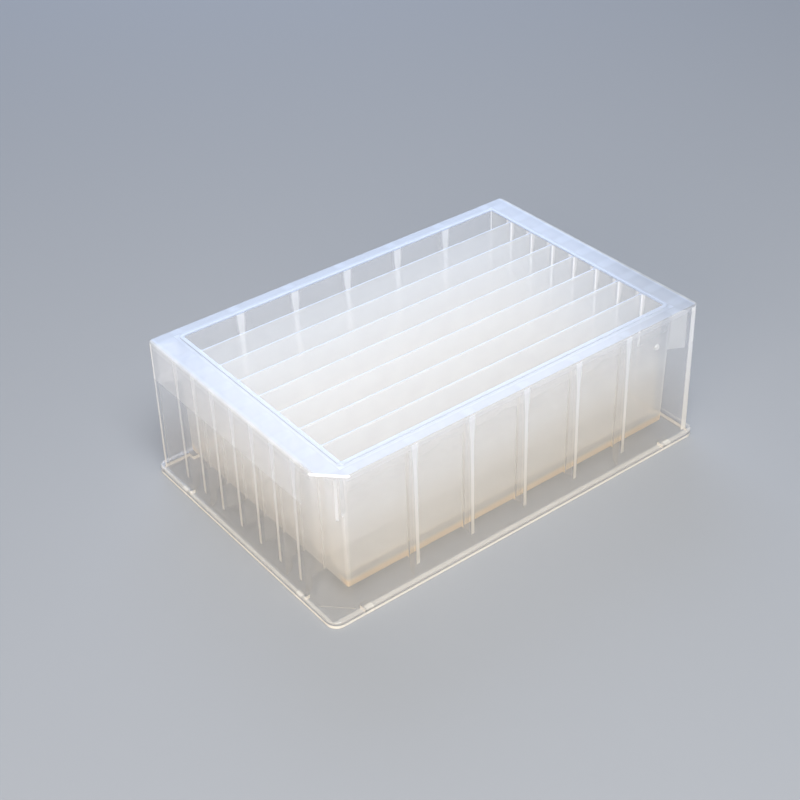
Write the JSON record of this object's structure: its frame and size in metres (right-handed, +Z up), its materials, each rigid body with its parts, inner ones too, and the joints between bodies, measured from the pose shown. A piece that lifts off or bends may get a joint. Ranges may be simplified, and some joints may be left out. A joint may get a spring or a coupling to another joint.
{
  "type": "reagent reservoir",
  "caption": "Microplate-footprint reagent reservoir: long parallel troughs open at the top, in a ribbed outer skirt with a stepped foot, moulded in one piece.",
  "frame": {"origin": "middle of the footprint, on the plane that the foot rim stands on", "axes": "+X along the troughs, +Y across them, away from the side with the cut corner, +Z up out of the troughs"},
  "size_m": [0.1278, 0.0854, 0.044],
  "materials": {
    "natural_polypropylene": "natural, milky and see-through, smooth from the mould"
  },
  "bodies": {
    "root": {"reservoir": "natural_polypropylene"}
  },
  "joints": []
}
